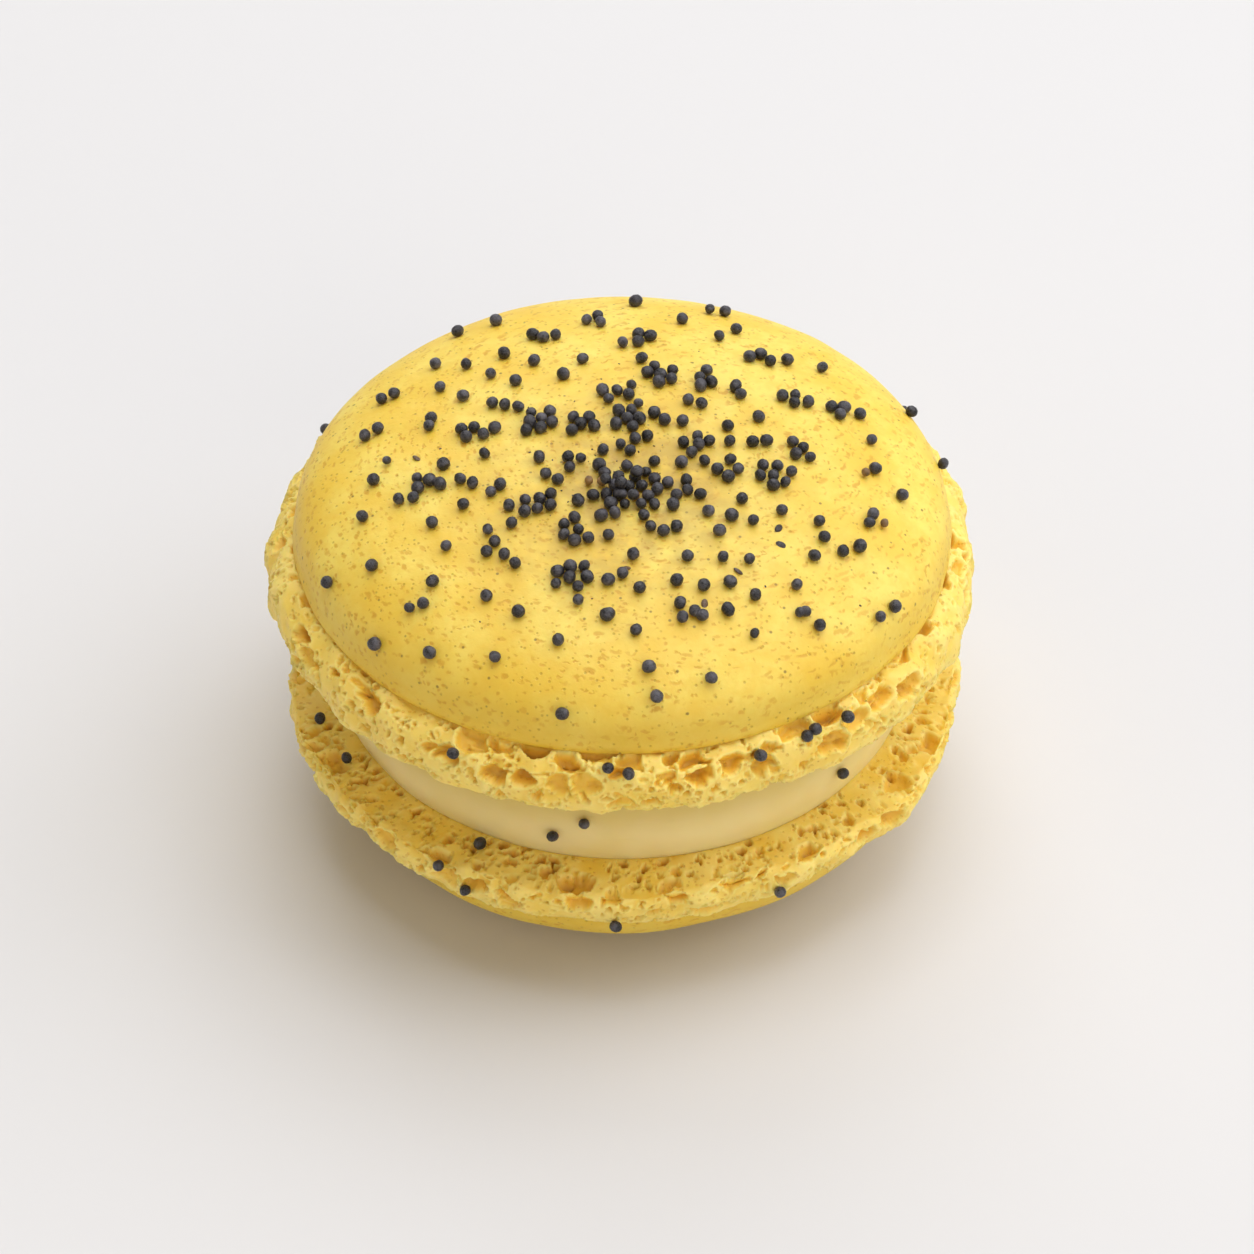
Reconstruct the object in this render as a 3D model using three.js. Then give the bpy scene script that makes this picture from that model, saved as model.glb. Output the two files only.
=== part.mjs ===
import * as THREE from 'three';

// A French macaron: two shells of baked almond meringue with their flat undersides facing, a
// disc of buttercream between them, and poppy seeds stuck to the outside.
// Millimetres, +Z up, origin at the middle of the flat face that the macaron rests on.

// Driving dimensions of the filling and the seeds.
const FILLING_THICKNESS = 7.75;
const FILLING_RADIUS = 20.1; // at mid height, where it bulges
const FILLING_ROUNDING = 0.45; // how far the filling draws in at its two faces
const SEED_LENGTH = 0.96;
const SEED_WIDTH = 0.84;
const SEED_THICKNESS = 0.76;
const SEED_GAP = 0.06; // a seed touches its shell through a film of its own, drawn as a thin gap

// Driving dimensions of each shell. Heights are counted from its flat underside, and a shell is
// first the foot, two quarter ellipses, and then the skin, a superellipse up to the crown.
const UPPER = {
  rimRadius: 23.2, // edge of the flat underside
  footRadius: 24, // widest part of the foot
  footHeight: 1.4,
  skinRadius: 22, // the crease where the skin meets the foot
  skinHeight: 4,
  domeRadius: 22.05,
  domeStart: 5,
  domeHeight: 6.9,
  fullness: 2.4, // 2 is an ellipse, and more is squarer
  height: 11.9,
};
const LOWER = {
  rimRadius: 22.8,
  footRadius: 23.4,
  footHeight: 0.9,
  skinRadius: 21.2,
  skinHeight: 3.5,
  domeRadius: 21.3,
  domeStart: 3.7,
  domeHeight: 6.7,
  fullness: 2.35,
  height: 10, // the crown is flattened here by the macaron's weight, to the face it rests on
};
const LOWER_PLANE = LOWER.height; // where the filling lies on the lower shell
const UPPER_PLANE = LOWER_PLANE + FILLING_THICKNESS;

// The foot is ruffled: its radius swings by these amounts, in millimetres, over these numbers of
// waves round the shell.
const RUFFLES = [[7, 0.1], [11, 0.12], [17, 0.08]];

// Facets round a lathed piece, and rows up each stretch of its outline.
const SIDES = 60;
const RIM_ROWS = 3;
const FOOT_ROWS = 5;
const DOME_ROWS = 9;
const FILLING_ROWS = 8;

const QUARTER = Math.PI / 2;

// Angle along the superellipse, from its widest ring at 0 to its crown at a quarter turn.
function domePoint(shell, angle) {
  const power = 2 / shell.fullness;
  const radius = shell.domeRadius * Math.cos(angle) ** power;
  const height = shell.domeStart + shell.domeHeight * Math.sin(angle) ** power;
  return new THREE.Vector2(radius, height);
}

// Where the flattened crown begins, as an angle along the superellipse.
function domeEnd(shell) {
  const level = Math.min(1, (shell.height - shell.domeStart) / shell.domeHeight);
  return Math.asin(level ** (shell.fullness / 2));
}

// Height on the upper quarter ellipse of the foot, between its widest part and the crease.
function footPoint(shell, height) {
  const level = (height - shell.footHeight) / (shell.skinHeight - shell.footHeight);
  const reach = Math.sqrt(1 - level * level);
  return new THREE.Vector2(shell.skinRadius + (shell.footRadius - shell.skinRadius) * reach, height);
}

// Height on the lower quarter ellipse of the foot, between the underside and its widest part.
function rimPoint(shell, height) {
  const level = 1 - height / shell.footHeight;
  const reach = Math.sqrt(1 - level * level);
  return new THREE.Vector2(shell.rimRadius + (shell.footRadius - shell.rimRadius) * reach, height);
}

function shellOutline(shell) {
  const points = [new THREE.Vector2(0, 0)];
  for (let row = 0; row < RIM_ROWS; row += 1) {
    const height = shell.footHeight * (1 - Math.cos((row / RIM_ROWS) * QUARTER));
    points.push(rimPoint(shell, height));
  }
  for (let row = 0; row <= FOOT_ROWS; row += 1) {
    const rise = (shell.skinHeight - shell.footHeight) * Math.sin((row / FOOT_ROWS) * QUARTER);
    points.push(footPoint(shell, shell.footHeight + rise));
  }
  const end = domeEnd(shell);
  const rounds = end < QUARTER ? DOME_ROWS + 1 : DOME_ROWS;
  for (let row = 0; row < rounds; row += 1) points.push(domePoint(shell, (row / DOME_ROWS) * end));
  points.push(new THREE.Vector2(0, shell.height));
  return points;
}

// How far the foot's ruffle moves a point out, fading to nothing at the underside and the crease.
function ruffle(shell, angle, height) {
  if (height >= shell.skinHeight) return 0;
  const strength = Math.sin((height / shell.skinHeight) * Math.PI);
  let swing = 0;
  for (const [waves, size] of RUFFLES) swing += size * Math.sin(waves * angle + waves);
  return strength * swing;
}

// A lathe turns about +Y; this stands it up along +Z.
function lathe(outline) {
  const geometry = new THREE.LatheGeometry(outline, SIDES);
  geometry.rotateX(QUARTER);
  return geometry;
}

function shellGeometry(shell) {
  const geometry = lathe(shellOutline(shell));
  const position = geometry.getAttribute('position');
  for (let i = 0; i < position.count; i += 1) {
    const x = position.getX(i);
    const y = position.getY(i);
    const radius = Math.hypot(x, y);
    if (radius < shell.skinRadius) continue;
    const grown = 1 + ruffle(shell, Math.atan2(y, x), position.getZ(i)) / radius;
    position.setX(i, x * grown);
    position.setY(i, y * grown);
  }
  return geometry;
}

// The filling's side is a shallow bulge: a half sine wave from one face to the other.
function fillingPoint(height) {
  const bulge = Math.sin((height / FILLING_THICKNESS) * Math.PI) ** 0.7;
  return new THREE.Vector2(FILLING_RADIUS - FILLING_ROUNDING * (1 - bulge), height);
}

function fillingGeometry() {
  const points = [new THREE.Vector2(0, 0)];
  for (let row = 0; row <= FILLING_ROWS; row += 1) {
    points.push(fillingPoint((FILLING_THICKNESS * row) / FILLING_ROWS));
  }
  points.push(new THREE.Vector2(0, FILLING_THICKNESS));
  return lathe(points);
}

// A small generator of repeatable numbers from 0 to 1, for the turn and size of each seed.
function repeatable(start) {
  let state = start;
  return () => {
    state = (state * 16807) % 2147483647;
    return state / 2147483647;
  };
}
const chance = repeatable(48);

// A poppy seed: a small kidney, an ellipsoid bent along its length.
function seedGeometry() {
  const geometry = new THREE.IcosahedronGeometry(0.5, 1);
  const size = 0.92 + 0.14 * chance();
  geometry.scale(SEED_LENGTH * size, SEED_WIDTH * size, SEED_THICKNESS * size);
  const position = geometry.getAttribute('position');
  const bend = 0.3;
  for (let i = 0; i < position.count; i += 1) {
    position.setY(i, position.getY(i) + bend * position.getX(i) ** 2);
  }
  return geometry;
}

const materials = {
  shell: new THREE.MeshStandardMaterial({ color: 0xedcb52, roughness: 0.75, metalness: 0 }),
  filling: new THREE.MeshStandardMaterial({ color: 0xe9ddb4, roughness: 0.45, metalness: 0 }),
  seed: new THREE.MeshStandardMaterial({ color: 0x3b3c42, roughness: 0.55, metalness: 0 }),
};

const macaron = new THREE.Group();

const upperShell = new THREE.Mesh(shellGeometry(UPPER), materials.shell);
upperShell.name = 'upper_shell';
upperShell.position.z = UPPER_PLANE;
macaron.add(upperShell);

// The lower shell is the same kind of piece turned upside down, on its crown.
const lowerShell = new THREE.Mesh(shellGeometry(LOWER), materials.shell);
lowerShell.name = 'lower_shell';
lowerShell.rotation.x = Math.PI;
lowerShell.position.z = LOWER_PLANE;
macaron.add(lowerShell);

const filling = new THREE.Mesh(fillingGeometry(), materials.filling);
filling.name = 'filling';
filling.position.z = LOWER_PLANE;
macaron.add(filling);

// Lays one seed flat on an outline. The outline is given by two of its points, just below and
// just above the seed, so that their middle is its place and their difference is its slope.
function addSeed(angleInDegrees, below, above, swing = 0) {
  const angle = THREE.MathUtils.degToRad(angleInDegrees);
  const slope = above.clone().sub(below).normalize();
  const lift = SEED_THICKNESS / 2 + SEED_GAP;
  const radius = (below.x + above.x) / 2 + swing + slope.y * lift;
  const height = (below.y + above.y) / 2 - slope.x * lift;
  const outward = new THREE.Vector3(Math.cos(angle) * slope.y, Math.sin(angle) * slope.y, -slope.x);
  const seed = new THREE.Mesh(seedGeometry(), materials.seed);
  seed.name = `seed_${String(macaron.children.length - 2).padStart(2, '0')}`;
  seed.position.set(radius * Math.cos(angle), radius * Math.sin(angle), height);
  seed.quaternion.setFromUnitVectors(new THREE.Vector3(0, 0, 1), outward);
  seed.rotateZ(chance() * Math.PI);
  macaron.add(seed);
}

const STEP = 0.1; // half the distance between the two points that give a seed's slope
const raised = (point, plane) => new THREE.Vector2(point.x, point.y + plane);
const turned = (point, plane) => new THREE.Vector2(point.x, plane - point.y);

// Seeds on the upper skin, by angle in degrees and by distance from the axis.
function addSkinSeed(angle, radius) {
  const place = Math.acos((radius / UPPER.domeRadius) ** (UPPER.fullness / 2));
  const turn = 0.01;
  const below = raised(domePoint(UPPER, place - turn), UPPER_PLANE);
  const above = raised(domePoint(UPPER, place + turn), UPPER_PLANE);
  addSeed(angle, below, above);
}

// The first three rows of the list lie low on the near side, and the others further up and round.
const SKIN_SEEDS = [
  [223, 21.6], [234, 20.8], [246, 19.8], [257, 18], [260, 21.6], [267, 15.9], [273, 17],
  [275, 19.4], [286, 20.4], [276, 20.9], [297, 18.6], [284, 15.4], [288, 16.6], [294, 16.5],
  [308, 18.5], [310, 19.7], [322, 21.1], [326, 21.2],
  [120, 17.5], [128, 18.5], [129, 12.8], [142, 16.2], [188, 16.6], [198, 17.9], [206, 21.3],
  [87, 17.4], [35, 16.6], [16, 16.6], [22, 21.1], [10, 21.8], [351, 18.7],
];
for (const [angle, radius] of SKIN_SEEDS) addSkinSeed(angle, radius);

// Strays on the upper foot, by angle and by height above the underside. The last three are on
// the far side.
const UPPER_FOOT_SEEDS = [
  [243, 3.1], [268, 3.6], [271, 3.4], [292, 3.5], [300, 3.6], [303, 3.4], [309, 3.5],
  [34, 3.3], [98, 3.5], [151, 2.9],
];
for (const [angle, height] of UPPER_FOOT_SEEDS) {
  const swing = ruffle(UPPER, THREE.MathUtils.degToRad(angle), height);
  const below = raised(footPoint(UPPER, height - STEP), UPPER_PLANE);
  const above = raised(footPoint(UPPER, height + STEP), UPPER_PLANE);
  addSeed(angle, below, above, swing);
}

// Strays on the filling's side, by angle and by height above the lower shell.
const FILLING_SEEDS = [[263, 3.8], [257, 2.2], [316, 2.6], [75, 4.6], [139, 2.9]];
for (const [angle, height] of FILLING_SEEDS) {
  const below = raised(fillingPoint(height - STEP), LOWER_PLANE);
  const above = raised(fillingPoint(height + STEP), LOWER_PLANE);
  addSeed(angle, below, above);
}

// Seeds that fell on the rim of the lower shell's flat face, by angle and distance from the axis.
const RIM_SEEDS = [[197, 21.6], [209, 21.3], [243, 20.8], [21, 21.7]];
for (const [angle, radius] of RIM_SEEDS) {
  const outer = new THREE.Vector2(radius + STEP, LOWER_PLANE);
  const inner = new THREE.Vector2(radius - STEP, LOWER_PLANE);
  addSeed(angle, outer, inner);
}

// Strays on the lower foot, by angle and by depth below the lower shell's flat face.
const LOWER_FOOT_SEEDS = [[239, 0.4], [244, 1.4], [296, 1.4], [269, 1.9], [62, 1.6], [122, 0.5], [165, 1.8]];
for (const [angle, depth] of LOWER_FOOT_SEEDS) {
  const swing = ruffle(LOWER, -THREE.MathUtils.degToRad(angle), depth);
  const outline = depth < LOWER.footHeight ? rimPoint : footPoint;
  const below = turned(outline(LOWER, depth + STEP), LOWER_PLANE);
  const above = turned(outline(LOWER, depth - STEP), LOWER_PLANE);
  addSeed(angle, below, above, swing);
}

export default macaron;
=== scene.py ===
import math
from typing import NamedTuple

import bpy
import numpy as np
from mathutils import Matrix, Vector
from mathutils.bvhtree import BVHTree


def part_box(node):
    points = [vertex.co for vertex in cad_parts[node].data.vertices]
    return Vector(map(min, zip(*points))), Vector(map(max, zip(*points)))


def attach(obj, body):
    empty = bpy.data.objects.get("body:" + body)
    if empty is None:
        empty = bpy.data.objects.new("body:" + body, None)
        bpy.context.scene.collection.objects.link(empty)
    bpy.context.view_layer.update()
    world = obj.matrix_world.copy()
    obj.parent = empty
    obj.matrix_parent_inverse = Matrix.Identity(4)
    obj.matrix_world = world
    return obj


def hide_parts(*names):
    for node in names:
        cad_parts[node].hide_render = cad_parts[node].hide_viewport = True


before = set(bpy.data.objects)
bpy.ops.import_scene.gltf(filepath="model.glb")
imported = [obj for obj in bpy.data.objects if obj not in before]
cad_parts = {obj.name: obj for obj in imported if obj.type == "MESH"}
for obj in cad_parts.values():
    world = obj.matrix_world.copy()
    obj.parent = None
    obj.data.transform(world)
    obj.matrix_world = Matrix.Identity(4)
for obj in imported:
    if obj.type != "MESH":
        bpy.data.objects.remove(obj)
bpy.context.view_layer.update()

# A French macaron strewn with poppy seeds, in metres, +Z up, standing on z = 0.
# Sizes are named here in millimetres and multiplied by MM where a mesh is made.
MM = 0.001

# ---------------------------------------------------------------------------------- sizes

upper_low, upper_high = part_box("upper_shell")
lower_low, lower_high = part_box("lower_shell")
filling_low, filling_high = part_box("filling")


class Bubbles(NamedTuple):
    """Open bubbles of about one size on a foot. Lengths are in millimetres."""
    cell: float  # width of the fields that the surface is split into
    stretch: float  # how many times longer the fields are round the foot
    share: float  # part of the fields that are open bubbles
    wall: float  # what stays between two bubbles, as a part of the cell
    depths: tuple  # least and greatest depth
    start: float  # below the crease, or past the rim where the bubbles reach the filling
    end: float | None  # past the rim, or None where the bubbles reach the filling


# Each shell is described by its outline, with heights counted from its flat underside. The two
# share their shape: a foot that bulges past the skin, and a skin that is a superellipse. Their
# bubbles are listed from large to small.
UPPER = {
    "plane": upper_low.z / MM,
    "up": 1,
    "foot_radius": 24.0,
    "height": (upper_high.z - upper_low.z) / MM,
    "rim_inset": 0.8,
    "foot_height": 1.4,
    "skin_radius": 22.0,
    "skin_height": 4.0,
    "dome_radius": 22.05,
    "dome_start": 5.0,
    "dome_rise": 6.9,
    "fullness": 2.35,
    "foot_rows": 48,
    "rim_rows": 5,
    "seed": 11,
    "bubbles": [
        Bubbles(1.6, 1.5, 0.33, 0.1, (0.5, 1.1), 0.0, -2.6),
        Bubbles(1.1, 1.4, 0.22, 0.12, (0.35, 0.8), 0.3, -0.6),
        Bubbles(0.75, 1.2, 0.22, 0.15, (0.25, 0.6), 0.2, 0.6),
        Bubbles(0.5, 1.1, 0.3, 0.16, (0.18, 0.4), 0.2, 2.0),
    ],
}
LOWER = {
    "plane": lower_high.z / MM,
    "up": -1,
    "foot_radius": 23.4,
    "height": (lower_high.z - lower_low.z) / MM,
    "rim_inset": 0.6,
    "foot_height": 0.9,
    "skin_radius": 21.2,
    "skin_height": 3.5,
    "dome_radius": 21.3,
    "dome_start": 3.7,
    "dome_rise": 6.7,
    "fullness": 2.35,
    "foot_rows": 42,
    "rim_rows": 18,
    "seed": 23,
    "bubbles": [
        Bubbles(1.6, 1.5, 0.3, 0.1, (0.4, 0.9), 0.1, 0.9),
        Bubbles(1.1, 1.4, 0.24, 0.13, (0.3, 0.7), 0.3, 1.6),
        Bubbles(0.9, 1.15, 0.32, 0.18, (0.4, 0.8), 1.3, None),
        Bubbles(0.7, 1.15, 0.24, 0.16, (0.2, 0.5), 0.2, 2.6),
        Bubbles(0.5, 1.1, 0.3, 0.16, (0.18, 0.35), 0.2, 2.9),
    ],
}
FILLING_RADIUS = (filling_high.x - filling_low.x) / 2 / MM
UNDER_FILLING = 0.8  # how far the rim's fine rows go on under the filling

FINE_COLUMNS = 1200  # round the foot: one every 0.13 mm
LIP_COLUMNS = 600  # round the edge of the skin
DOME_COLUMNS = 300  # round the skin, which is smooth
QUARTER = math.pi / 2  # of a turn
SEED_NODES = sorted(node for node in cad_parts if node.startswith("seed_"))


# ------------------------------------------------------------------------- noise and bubbles

def lattice_noise(points, size, seed):
    """Smooth noise from -1 to 1. Random values sit on a cubic lattice of spacing size, and a point
    blends the eight round it by the smoothstep of its place in the cell."""
    table = np.random.default_rng(seed).uniform(-1, 1, 4096)
    place = points / size
    corner = np.floor(place).astype(np.int64)
    part = place - corner
    part = part * part * (3 - 2 * part)
    total = np.zeros(len(points))
    for step in np.ndindex(2, 2, 2):
        x, y, z = (corner + step).T
        key = (x * 73856093 ^ y * 19349663 ^ z * 83492791) & 4095
        total += np.prod(np.where(step, part, 1 - part), axis=1) * table[key]
    return total


def layered_noise(points, layers):
    """The sum of lattice noises, each of them given by its height, its size and its seed."""
    total = np.zeros(len(points))
    for height, size, seed in layers:
        total += height * lattice_noise(points, size, seed)
    return total


def bubble_depth(angle, along, girth, bubbles, band, seed):
    """How deep open bubbles cut the surface, in mm, and how near a point is to a bubble's rim, from
    0 to 1. One spot is picked by chance in each cell of a grid that closes round the girth, and
    every point belongs to its nearest spot: that splits the surface into irregular fields. By
    chance a field is an open bubble. Its cut follows a quarter circle of the way in from the
    field's wall: steep at the edge, level in the middle. No bubble is wider than a circle of 1.1
    cells, which rounds its corners off."""
    cell = bubbles.cell
    margin = 0.1  # how far a spot keeps from the edges of its cell, as a part of the cell
    widest = 0.56 * cell  # radius of the largest bubble
    shoulder = max(0.24 * cell, 0.2)  # how far in from its wall a bubble's bottom starts
    rim_place = -0.06  # how far in from a bubble's wall its rim is highest
    rim_width = 0.09
    rng = np.random.default_rng(seed)
    across = int(round(girth / (cell * bubbles.stretch)))
    first = int(np.floor(band[0] / cell)) - 2
    rows = int(np.ceil(band[1] / cell)) + 3 - first
    spot_x, spot_y, size, thick, chance = rng.uniform(0, 1, (5, across, rows))
    spot_x = margin + (1 - 2 * margin) * spot_x
    spot_y = margin + (1 - 2 * margin) * spot_y
    u = (angle / (2 * np.pi) % 1) * across
    v = along / cell - first
    column = np.floor(u).astype(int)
    row = np.floor(v).astype(int)
    spots = []
    for dx, dy in np.ndindex(3, 3):
        i = (column + dx - 1) % across
        j = np.clip(row + dy - 1, 0, rows - 1)
        gap_x = (column + dx - 1 + spot_x[i, j] - u) * cell
        gap_y = (row + dy - 1 + spot_y[i, j] - v) * cell
        spots.append(np.stack([gap_x, gap_y, i, j]))
    spots = np.stack(spots)
    nearest = np.argmin(spots[:, 0] ** 2 + spots[:, 1] ** 2, axis=0)
    home_x, home_y, i, j = spots[nearest, :, np.arange(len(u))].T
    i, j = i.astype(int), j.astype(int)

    # How far inside its field a point is: from the nearest line halfway between the field's spot
    # and another, or from the circle of the widest bubble.
    edge = widest - np.hypot(home_x, home_y)
    for gap_x, gap_y, _, _ in spots:
        apart = np.hypot(gap_x - home_x, gap_y - home_y)
        halfway = (gap_x ** 2 + gap_y ** 2 - home_x ** 2 - home_y ** 2) / (2 * np.maximum(apart, 1e-6))
        edge = np.where(apart > 1e-6, np.minimum(edge, halfway), edge)

    height = (j + spot_y[i, j] + first) * cell
    there = (chance[i, j] < bubbles.share) & (height > band[0]) & (height < band[1])
    inward = edge - bubbles.wall * cell * (0.4 + thick[i, j])
    reach = np.clip(inward / shoulder, 0, 1)
    least, greatest = bubbles.depths
    depth = (least + (greatest - least) * size[i, j]) * np.sqrt(1 - (1 - reach) ** 2)
    rim = np.exp(-((inward - rim_place) / rim_width) ** 2)
    return np.where(there, depth, 0), np.where(there, rim, 0)


# ------------------------------------------------------------------------------- mesh makers

def ring_faces(counts):
    """Faces between rings listed from the top down. Equal rings are joined by quads, a ring of
    half the count by three triangles for each of its steps, and a single point by a fan."""
    quads, triangles = [], []
    start = 0
    for upper, lower in zip(counts, counts[1:]):
        below = start + upper
        k = np.arange(max(min(upper, lower), 1))
        if upper == lower:
            a = start + k
            a_next = start + (k + 1) % upper
            quads.append(np.stack([a + upper, a_next + upper, a_next, a], axis=1))
        elif upper == 1 or lower == 1:
            k = np.arange(max(upper, lower))
            edge = below if upper == 1 else start
            point = start if upper == 1 else below
            a = edge + k
            b = edge + (k + 1) % len(k)
            apex = np.full(len(k), point)
            triangles.append(np.stack([a, b, apex] if upper == 1 else [b, a, apex], axis=1))
        else:
            fine, coarse = (below, start) if lower > upper else (start, below)
            n = len(k)
            f0, f1, f2 = fine + 2 * k, fine + 2 * k + 1, fine + (2 * k + 2) % (2 * n)
            c0, c1 = coarse + k, coarse + (k + 1) % n
            fans = [(f0, f1, c0), (f1, f2, c1), (f1, c1, c0)]
            if lower < upper:
                fans = [fan[::-1] for fan in fans]
            triangles += [np.stack(fan, axis=1) for fan in fans]
        start = below
    return quads, triangles


def make_piece(name, points, faces, attributes=None, material=None):
    """A smooth mesh object from points in millimetres, a list of face arrays, and one value, or
    one vector, a point for each named attribute."""
    mesh = bpy.data.meshes.new(name)
    sizes = np.concatenate([np.full(len(f), f.shape[1]) for f in faces])
    corners = np.concatenate([f.ravel() for f in faces])
    mesh.vertices.add(len(points))
    mesh.vertices.foreach_set("co", (points * MM).astype(np.float32).ravel())
    mesh.loops.add(len(corners))
    mesh.loops.foreach_set("vertex_index", corners.astype(np.int32))
    mesh.polygons.add(len(sizes))
    mesh.polygons.foreach_set("loop_start", (np.cumsum(sizes) - sizes).astype(np.int32))
    mesh.polygons.foreach_set("use_smooth", np.ones(len(sizes), bool))
    mesh.update(calc_edges=True)
    mesh.validate()
    for key, values in (attributes or {}).items():
        kind, field = ("FLOAT", "value") if values.ndim == 1 else ("FLOAT_VECTOR", "vector")
        layer = mesh.attributes.new(key, kind, "POINT")
        layer.data.foreach_set(field, values.astype(np.float32).ravel())
    piece = bpy.data.objects.new(name, mesh)
    bpy.context.scene.collection.objects.link(piece)
    if material:
        mesh.materials.append(material)
    return piece


# ------------------------------------------------------------------------------ colour, nodes

def colour(code):
    """An sRGB hex value as linear red, green, blue and alpha."""
    parts = [int(code[i:i + 2], 16) / 255 for i in (1, 3, 5)]
    return [p / 12.92 if p <= 0.04045 else ((p + 0.055) / 1.055) ** 2.4 for p in parts] + [1]


def add(tree, kind, inputs=None, **settings):
    """Adds a node, with its settings and with each input's value or the socket that feeds it."""
    node = tree.nodes.new("ShaderNode" + kind)
    for key, value in settings.items():
        setattr(node, key, value)
    for key, value in (inputs or {}).items():
        if isinstance(value, bpy.types.NodeSocket):
            tree.links.new(value, node.inputs[key])
        else:
            node.inputs[key].default_value = value
    return node


def new_material(name, base):
    """An empty Principled material. base holds the values that are the same all over."""
    material = bpy.data.materials.new(name)
    material.use_nodes = True
    tree = material.node_tree
    shader = tree.nodes["Principled BSDF"]
    for key, value in base.items():
        shader.inputs[key].default_value = value
    return material, tree, shader


def tint(tree, factor, first, second):
    """A colour that goes from first to second with the factor. Either may be a hex value."""
    pair = [colour(c) if isinstance(c, str) else c for c in (first, second)]
    mix = add(tree, "Mix", {0: factor, 6: pair[0], 7: pair[1]}, data_type="RGBA")
    return mix.outputs[2]


def ramp(tree, value, low, high, to_low=0.0, to_high=1.0):
    """The value brought from low..high to to_low..to_high, and held there."""
    inputs = {"Value": value, 1: low, 2: high, 3: to_low, 4: to_high}
    return add(tree, "MapRange", inputs, interpolation_type="SMOOTHSTEP").outputs[0]


def times(tree, *values):
    """The product of the values."""
    product = values[0]
    for value in values[1:]:
        product = add(tree, "Math", {0: product, 1: value}, operation="MULTIPLY").outputs[0]
    return product


def per_metre(millimetres):
    """A texture's scale for features of that size."""
    return 1 / (millimetres * MM)


def noise(tree, vector, millimetres, detail=2.0, roughness=0.5):
    """Cloudy noise about 0.5, with clouds of that size."""
    inputs = {"Vector": vector, "Scale": per_metre(millimetres), "Detail": detail,
              "Roughness": roughness}
    return add(tree, "TexNoise", inputs).outputs["Fac"]


def dots(tree, vector, scale, core, outside, chance):
    """Round dots, one in a cell: 1 out to core and 0 from outside on, both as parts of the cell's
    width. Chance is the band of a cell's random value over which its dot comes in."""
    cells = add(tree, "TexVoronoi", {"Vector": vector, "Scale": scale})
    chosen = ramp(tree, cells.outputs["Color"], *chance)
    return times(tree, ramp(tree, cells.outputs["Distance"], core, outside, 1.0, 0.0), chosen)


# -------------------------------------------------------------------------------- materials

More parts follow.
